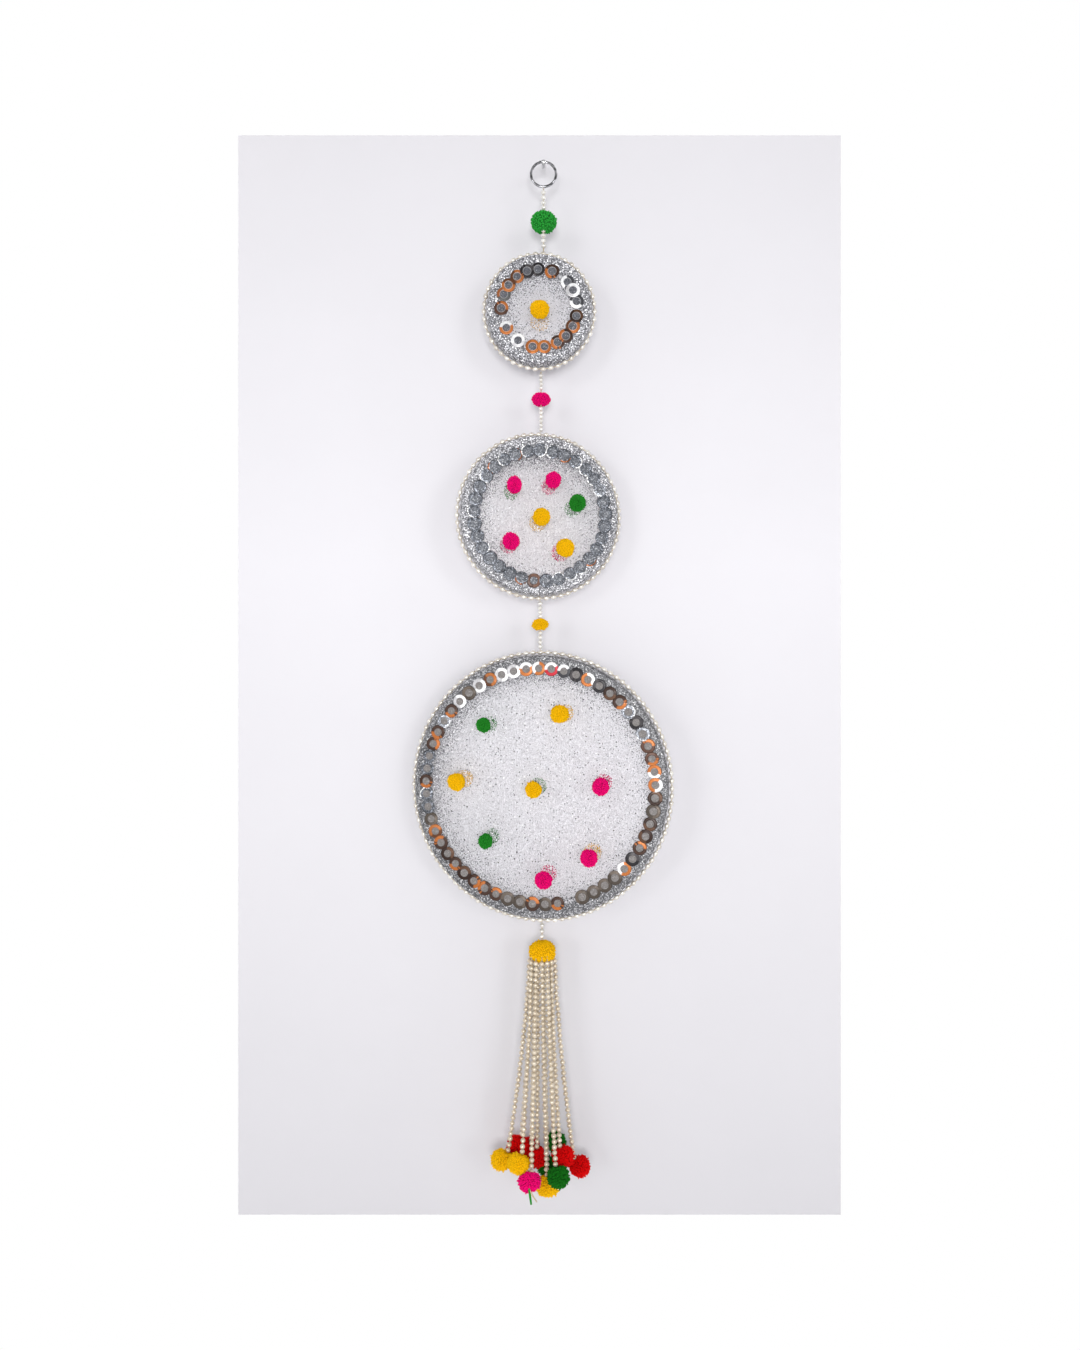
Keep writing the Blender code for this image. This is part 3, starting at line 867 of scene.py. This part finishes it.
def dress_sewn_pompoms(name, seed):
    """The pompoms on a disc's nets, front and back."""
    face = DISCS[name][5] / 2.0 + NET + NET_GAP
    yaw = math.radians(DISCS[name][2])
    for number, row in enumerate(SEWN_POMPOMS[name], start=1):
        front_colour, back_colour, across, up, diameter = row
        radius = diameter / 2.0
        for side, colour, facing in (("front", front_colour, -1.0), ("back", back_colour, 1.0)):
            own_seed = seed + 2 * number + (facing > 0.0)
            wider, taller = SEWN_SHAPES.get((name, number), (1.02, 1.06))
            radii = (radius * wider, radius * 1.02, radius * taller)
            press = (-facing, SEWN_PRESS * radius)
            points, faces, pile = pompom_mesh((0.0, 0.0, 0.0), radii, own_seed, (), press)
            turned = points.copy()
            turned[:, 0] = points[:, 0] * math.cos(yaw) - points[:, 1] * math.sin(yaw)
            turned[:, 1] = points[:, 0] * math.sin(yaw) + points[:, 1] * math.cos(yaw)
            middle = on_disc(name, across, up, -facing * (face + SEWN_PRESS * radius))
            label = f"{name}_{side}_yarn_{number}"
            node = f"{name}_{side}_pompom_{number}"
            add_pompom(label, (turned + middle, faces, pile), colour, (node,))


# Ring, hook and strings


def dress_ring():
    """The wire ring, with the fine seam where its ends meet."""
    middle = ARM_RADIUS + ARM_GAP - (RING_RADIUS - RING_WIRE)
    angles = np.linspace(0.0, 2.0 * math.pi, 120, endpoint=False)
    seam = np.exp(-(((angles - 1.5 * math.pi) / 0.035) ** 2))
    path = np.stack((
        RING_RADIUS * np.cos(angles),
        np.full(len(angles), HANG),
        middle + RING_RADIUS * np.sin(angles),
    ), axis=1)
    wire = tube_mesh(path, RING_WIRE * (1.0 - 0.3 * seam), 18, closed=True)
    add_piece("chrome_ring", *wire, chrome, ("hanging_ring",), "chrome")


def dress_strings():
    """Light pearl beads on a thread, a piece for each string."""
    chance = np.random.default_rng(40)
    for name, (x, top, bottom, width, heights) in STRINGS.items():
        heights = np.array(heights)
        centres = np.stack((
            x + chance.normal(0.0, 0.12, len(heights)),
            HANG + chance.normal(0.0, 0.12, len(heights)),
            heights,
        ), axis=1)
        leans = chance.normal(0.0, 0.12, (len(heights), 3)) + (0.0, 0.0, 1.0)
        gap = np.min(np.abs(np.diff(heights)))
        length = min(width * 0.92, gap * 0.98)
        count = len(heights)
        widths = np.full(count, 1.06 * width)
        beads = bead_mesh(centres, leans, widths, np.full(count, length), 20, 14)
        add_piece(name + "_string_beads", *beads, string_pearl, (name + "_bead_string",), "pearl")
        path = [(x, HANG, top), (x, HANG, 0.5 * (top + bottom)), (x, HANG, bottom)]
        thread = tube_mesh(path, THREAD, 8)
        add_piece(name + "_string_thread", *thread, tan, (), "pearl")


# Discs


def oval_ring(half_width, half_height, count):
    """Places round an oval, evenly spaced along it."""
    fine = np.linspace(0.0, 2.0 * math.pi, 2001)
    x = half_width * np.cos(fine)
    z = half_height * np.sin(fine)
    run = np.concatenate(((0.0,), np.cumsum(np.hypot(np.diff(x), np.diff(z)))))
    angles = np.interp(np.arange(count) / count * run[-1], run, fine)
    return half_width * np.cos(angles), half_height * np.sin(angles)


def dress_hoop(name):
    """The hoop in its glitter wrap, rounded as the padded wrap is."""
    half_width, half_height, depth = DISCS[name][3:6]
    outer = half_width - TRIM
    steps = HOOP_STEPS
    rings = HOOP_RINGS
    turns = 2.0 * np.pi * np.arange(steps) / steps
    power = 2.0 / HOOP_SQUARE
    section_out = np.sign(np.cos(turns)) * np.abs(np.cos(turns)) ** power * HOOP_WALL / 2.0
    section_up = np.sign(np.sin(turns)) * np.abs(np.sin(turns)) ** power * depth / 2.0
    points = []
    chance = np.random.default_rng(len(name))
    for ring in range(rings):
        angle = 2.0 * math.pi * ring / rings
        swell = 1.0 + chance.uniform(-0.02, 0.015)
        reach = outer - HOOP_WALL / 2.0 + section_out * swell
        across = reach * math.cos(angle)
        up = reach * math.sin(angle) * (half_height - TRIM) / outer
        points.append(on_disc(name, across, up, section_up * swell))
    faces = []
    for ring in range(rings):
        faces.extend(band(ring * steps, (ring + 1) % rings * steps, steps, flipped=True))
    add_piece(
        name + "_glitter_hoop", np.concatenate(points), faces, glitter[name],
        (name + "_hoop",), "silver_wrap",
    )


def dress_edging(name, seed):
    """The string of pearls round a hoop."""
    half_width, half_height, _, count = DISCS[name][3:]
    chance = np.random.default_rng(seed)
    across, up = oval_ring(half_width - EDGING, half_height - EDGING, count)
    forward = chance.normal(0.0, 0.35, count)
    centres = on_disc(name, across, up, forward)
    length = 2.0 * math.pi * (half_width - EDGING) / count
    before = on_disc(name, np.roll(across, 1), np.roll(up, 1), 0.0)
    after = on_disc(name, np.roll(across, -1), np.roll(up, -1), 0.0)
    leans = (after - before) + chance.normal(0.0, 0.9, (count, 3))
    widths = 2.0 * EDGING * (1.0 + chance.normal(0.0, 0.03, count))
    beads = bead_mesh(centres, leans, widths, np.full(count, min(5.3, 0.95 * length)), 16, 10)
    add_piece(name + "_edging_pearls", *beads, light_pearl, (name + "_pearl_edging",), "pearl")
    thread = tube_mesh(centres, THREAD * 0.8, 6, closed=True)
    add_piece(name + "_edging_thread", *thread, tan, (), "pearl")


def dress_net(name, side):
    """One net stretched over a face of a hoop, with its sag, gathers, and dark dots of painted
    shade and painted shadow.
    """
    half_width, half_height, depth = DISCS[name][3:6]
    wide = half_width - TRIM - NET_EDGE
    high = half_height - TRIM - NET_EDGE
    rings = 44
    segments = 128
    facing = 1.0 if side == "front" else -1.0
    angles = np.tile(2.0 * np.pi * np.arange(segments) / segments, rings)
    reach = np.repeat(np.arange(1, rings + 1) / rings, segments)
    across = np.concatenate(((0.0,), wide * reach * np.cos(angles)))
    up = np.concatenate(((0.0,), high * reach * np.sin(angles)))
    share = np.concatenate(((0.0,), reach))
    sag = NET_SAG * (1.0 - share**2)
    gathers = 0.18 * share**10 * np.sin(41.0 * np.arctan2(up, across))
    row_width, row_height, rise = SPANGLE_ROWS[name]
    inside = row_width * (1.0 - np.hypot(across / row_width, (up - rise) / row_height))
    rim = np.clip(0.5 - 0.4 * inside, 0.0, 1.0)
    # More dark dots towards the upper left: painted shade of the hoop
    upper_left_shade = 0.5 + 0.5 * (up - 0.6 * across) / (1.2 * high)
    dots_and_shade = RIM_DOTS_AND_SHADE[0] + RIM_DOTS_AND_SHADE[1] * upper_left_shade
    dots_and_shade = dots_and_shade * np.exp(-((np.maximum(0.0, inside - 5.0) / 7.0) ** 1.4))
    # Dark dots round each pompom: painted shadow
    for row in SEWN_POMPOMS[name]:
        away = np.hypot(across - row[2], up - row[3])
        dots_and_shade += POMPOM_SHADOW_DOTS * np.exp(-((away / 9.0) ** 2))
    forward = facing * (depth / 2.0 + NET_LIFT - sag + gathers)
    faces = []
    for segment in range(segments):
        after = (segment + 1) % segments
        faces.append((0, 1 + segment, 1 + after))
        for ring in range(rings - 1):
            inner = 1 + ring * segments
            outer = inner + segments
            faces.append((inner + segment, outer + segment, outer + after, inner + after))
    piece = add_piece(
        f"{name}_{side}_sheer", on_disc(name, across, up, forward), faces, nets[name],
        (f"{name}_{side}_net",), "glitter_net",
    )
    paint(piece, "DotsAndShade", dots_and_shade)
    paint(piece, "Rim", rim)


def spangle_rows(name):
    """Turn from the top, clockwise in degrees, and foil letter of each spangle."""
    if name == "small":
        return list(SMALL_FOILS)
    letters = FOILS[name]
    return [
        (360.0 * number / len(letters), letter)
        for number, letter in enumerate(letters)
        if letter != " "
    ]


def spangle_tones(letter, parts, levels, hole_edge_highlight):
    """Colours of a spangle's points, level by level from its hole out.

    parts is each side's rank for the foil's first colour, and hole_edge_highlight the share of
    light grey painted on the edge of the hole as a highlight. The two colours are painted
    reflection, and the outermost level is darkened as painted shade.
    """
    first_colour, second_colour, share = FOIL_AND_REFLECTION_COLOURS[letter]
    limit = np.quantile(parts, 1.0 - share)
    tones = []
    for level in range(levels):
        # First colour on one side of the spangle, second on the other: painted reflection
        tone = np.where((parts >= limit)[:, None], first_colour, second_colour)
        if letter in SPECKLED_FOILS:
            if level < 4:
                tone = np.tile(first_colour, (SPANGLE_SIDES, 1))
        elif level <= 1:
            # Light grey on the hole's raised edge: a painted highlight
            tone = (1.0 - hole_edge_highlight) * tone + hole_edge_highlight * np.array((0.72, 0.72, 0.74))
        # Outermost level darker: painted shade where the spangle's edge dips to the net
        if level == levels - 1:
            tone = tone * 0.55
        tones.append(tone)
    return np.concatenate(tones)


def dress_spangles(name, seed):
    """A row of stamped ring spangles, each tilted its own way, and the net in their holes."""
    row_width, row_height, rise = SPANGLE_ROWS[name]
    front = DISCS[name][5] / 2.0 + NET + NET_GAP
    # Share of painted highlight on the hole's edge, on the small disc only
    hole_edge_highlight = 0.5 if name == "small" else 0.0
    chance = np.random.default_rng(seed)
    sides = SPANGLE_SIDES
    turns = 2.0 * np.pi * np.arange(sides) / sides
    ridge = 0.10 * np.cos(turns * sides / 2.0)
    profile = (
        (SPANGLE_HOLE - 0.25, 0.15), (SPANGLE_HOLE, 0.45), (SPANGLE_HOLE + 0.3, 0.25),
        (0.5 * (SPANGLE_HOLE + SPANGLE_RADIUS), 0.32), (SPANGLE_RADIUS - 0.95, 0.30),
        (SPANGLE_RADIUS - 0.25, 0.22), (SPANGLE_RADIUS, 0.0),
    )
    rings = []
    for level in range(len(profile) - 1):
        rings.extend(band(level * sides, (level + 1) * sides, sides))
    fan = [(0, 1 + (side + 1) % sides, 1 + side) for side in range(sides)]
    meshes = []
    tones = []
    specks = []
    film_meshes = []
    for number, (turn, letter) in enumerate(spangle_rows(name)):
        clock = math.radians(90.0 - turn)
        across = row_width * math.cos(clock)
        up = rise + row_height * math.sin(clock)
        lift = front + SPANGLE_LIFTS[number % 2]
        tilt = chance.normal(0.0, SPANGLE_TILT, 2)
        split = chance.uniform(0.0, 2.0 * math.pi)
        size = chance.uniform(0.98, 1.07)
        own = []
        for level, (radius, height) in enumerate(profile):
            reach = radius * size
            local_x = reach * np.cos(turns)
            local_z = reach * np.sin(turns)
            raised = height + (ridge if level in (3, 4, 5) else 0.0)
            raised = raised + local_x * math.tan(tilt[0]) + local_z * math.tan(tilt[1])
            own.append(on_disc(name, across + local_x, up + local_z, lift + raised))
        meshes.append((np.concatenate(own), rings))
        parts = np.cos(turns - split) + 0.35 * np.cos(3.0 * (turns - split) + 1.0)
        tones.append(spangle_tones(letter, parts, len(profile), hole_edge_highlight))
        specks.append(np.full(len(profile) * sides, float(letter in SPECKLED_FOILS)))
        # A dark film in each hole: painted shade of the glitter seen through it
        rim = SPANGLE_HOLE * size
        film = on_disc(
            name,
            np.concatenate(((across,), across + rim * np.cos(turns))),
            np.concatenate(((up,), up + rim * np.sin(turns))),
            lift - 0.15,
        )
        film_meshes.append((film, fan))
    row_node = (name + "_spangle_row",)
    piece = add_piece(name + "_foil_spangles", *joined(meshes), foil, row_node, "foil_spangle")
    paint(piece, "Tone", np.concatenate(tones))
    paint(piece, "Speck", np.concatenate(specks))
    add_piece(
        name + "_spangle_film", *joined(film_meshes), films[name], row_node, "foil_spangle"
    )


# Tassel


def strand_points(number, pitch):
    """Bead centres down one strand, from its root to its end pompom."""
    root_x, root_depth, _, x, depth, z = STRANDS[number]
    root = np.array((HEAD_X + root_x, HANG + root_depth, HEAD_Z - ROOT_DROP))
    end = np.array((
        HEAD_X + (x - HEAD_X) * ENTRY_REACH, HANG + depth * ENTRY_REACH, z + ENTRY_RISE
    ))
    share = np.linspace(0.0, 1.0, 400)
    spread = share**STRAND_SPREAD
    path = np.stack((
        root[0] + (end[0] - root[0]) * spread,
        root[1] + (end[1] - root[1]) * spread,
        root[2] + (end[2] - root[2]) * share,
    ), axis=1)
    run = np.concatenate(((0.0,), np.cumsum(np.linalg.norm(np.diff(path, axis=0), axis=1))))
    wanted = np.arange(7.0, run[-1] - 1.0, pitch)
    beads = np.stack([np.interp(wanted, run, path[:, axis]) for axis in range(3)], axis=1)
    return beads, path


def dress_tassel():
    """Pearl strands, threads, head, end pompoms and tie ends in place of one solid."""
    chance = np.random.default_rng(77)
    centres = []
    leans = []
    threads = []
    for number in range(len(STRANDS)):
        beads, path = strand_points(number, PEARL_PITCH)
        beads = beads + chance.normal(0.0, 0.13, beads.shape)
        centres.append(beads)
        leans.append(np.gradient(beads, axis=0))
        threads.append(tube_mesh(path[::20], THREAD * 0.9, 6))
    centres = np.concatenate(centres)
    leans = np.concatenate(leans)
    widths = PEARL_WIDTH * (1.0 + chance.normal(0.0, 0.025, len(centres)))
    beads = bead_mesh(centres, leans, widths, widths * 0.97, 16, 11)
    add_piece("tassel_pearls", *beads, pearl, ("tassel",), "pearl")
    add_piece("tassel_threads", *joined(threads), tan, (), "pearl")
    top_notch = [(np.array((0.0, -0.15, 0.99)), 0.16, 0.26)]
    head_radii = 0.97 * np.array(HEAD_SIZE)
    head = pompom_mesh((HEAD_X, HANG, HEAD_Z), head_radii, 500, top_notch, None, *HEAD_PILE)
    add_pompom("tassel_head_yarn", head, "yellow", ("tassel",))
    for number, (_, _, colour, x, depth, z) in enumerate(STRANDS):
        end = np.array((x, HANG + depth, z))
        entry = np.array((
            (HEAD_X - x) * (1.0 - ENTRY_REACH), -depth * (1.0 - ENTRY_REACH), END_RADIUS
        ))
        entry /= np.linalg.norm(entry)
        notches = [(entry, 0.30, 0.42)]
        if number == TIE_STRAND:
            notches.append((np.array((0.1, -0.9, -0.42)), 0.22, 0.4))
        radii = np.array((chance.uniform(0.94, 1.03), 0.97, 0.93)) * END_RADIUS
        mesh = pompom_mesh(end, radii, 501 + number, notches, None, *END_PILE)
        # The tassel's green ends in a darker copy of the green: painted shade
        shade = "painted_shaded_green" if colour == "green" else None
        add_pompom(f"tassel_end_yarn_{number + 1}", mesh, colour, ("tassel",), shade)
    _, _, _, x, depth, z = STRANDS[TIE_STRAND]
    tie_root = np.array((x, HANG + depth, z)) + TIE_ROOT
    green_end = tube_mesh(tie_root + GREEN_TIE, GREEN_TIE_RADII, 8)
    pale_end = tube_mesh(tie_root + PALE_TIE, PALE_TIE_RADII, 8)
    green_tie = add_piece("green_tie_end", *green_end, yarn["green"], ("tassel",), "green_yarn")
    paint(green_tie, "Depth", np.full(len(green_end[0]), TIP_DEPTH))
    add_piece("pale_tie_end", *pale_end, tan, ("tassel",), "pearl")


# Stage, lights and camera


def add_panel(name, corners, made_of):
    """A flat panel from its four corners in metres."""
    mesh = bpy.data.meshes.new(name)
    mesh.from_pydata(corners, [], [(0, 1, 2, 3)])
    mesh.materials.append(made_of)
    return new_object(name, mesh)


def add_stage():
    """The backdrop panel and the floor."""
    top = (WALL_TOP + SEAT_Z) * MM
    foot = (WALL_FOOT + SEAT_Z) * MM
    left = WALL_LEFT * MM
    right = WALL_RIGHT * MM
    back = WALL_Y * MM
    low = FLOOR_Z * MM
    reach = FLOOR_REACH * MM
    backdrop = add_panel(
        "backdrop",
        [(left, back, foot), (right, back, foot), (right, back, top), (left, back, top)],
        stage_material("backdrop_paint", (0.735, 0.722, 0.755), foot, top),
    )
    floor = add_panel(
        "floor",
        [(-reach, -reach, low), (reach, -reach, low), (reach, back, low), (-reach, back, low)],
        stage_material("floor_paint", (0.80, 0.80, 0.81)),
    )


def add_light(name, place, width, power):
    """A soft square light aimed at the middle of the hanging."""
    data = bpy.data.lights.new(name, "AREA")
    data.shape = "RECTANGLE"
    data.size = width
    data.size_y = width
    data.energy = power
    lamp = new_object(name, data)
    lamp.location = place
    lean = np.subtract(LIGHT_AIM, place)
    flat = math.hypot(lean[0], lean[1])
    lamp.rotation_euler = (
        math.pi / 2.0 + math.atan2(lean[2], flat),
        0.0,
        math.atan2(-lean[0], lean[1]),
    )


def add_lights():
    """The lights, and a world that is bright behind the wall."""
    for name, row in LIGHTS.items():
        add_light(name, *row)
    world = bpy.data.worlds.new("studio")
    world.use_nodes = True
    bpy.context.scene.world = world
    nodes = world.node_tree.nodes
    links = world.node_tree.links
    way = nodes.new("ShaderNodeSeparateXYZ")
    links.new(nodes.new("ShaderNodeTexCoord").outputs["Generated"], way.inputs["Vector"])
    shade = ramp(
        nodes, links, maths(nodes, links, "MULTIPLY_ADD", way.outputs["Y"], 0.5),
        ((0.0, (0.20,) * 3), (0.2, (0.48,) * 3), (0.42, (0.95,) * 3), (0.55, (1.0,) * 3)),
    )
    links.new(shade, nodes["Background"].inputs["Color"])
    nodes["Background"].inputs["Strength"].default_value = 1.0


def add_camera():
    """The camera at the photograph's viewpoint, and plain colours."""
    data = bpy.data.cameras.new("camera")
    data.sensor_width = 36.0
    data.lens = LENS
    camera = new_object("camera", data)
    camera.location = (CAMERA_X * MM, CAMERA_Y * MM, (CAMERA_Z + SEAT_Z) * MM)
    camera.rotation_euler = (math.pi / 2.0, 0.0, 0.0)
    bpy.context.scene.camera = camera
    bpy.context.scene.view_settings.view_transform = "Standard"


add_camera()
add_stage()
add_lights()

for material_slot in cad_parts["wall_hook"].material_slots:
    material_slot.material = steel
dress_ring()
dress_strings()
dress_threaded_pompoms()
for disc_seed, disc_name in enumerate(DISCS, start=1):
    dress_hoop(disc_name)
    dress_edging(disc_name, 20 + disc_seed)
    dress_net(disc_name, "front")
    dress_net(disc_name, "back")
    dress_spangles(disc_name, 30 + disc_seed)
    dress_sewn_pompoms(disc_name, 100 * disc_seed)
dress_tassel()
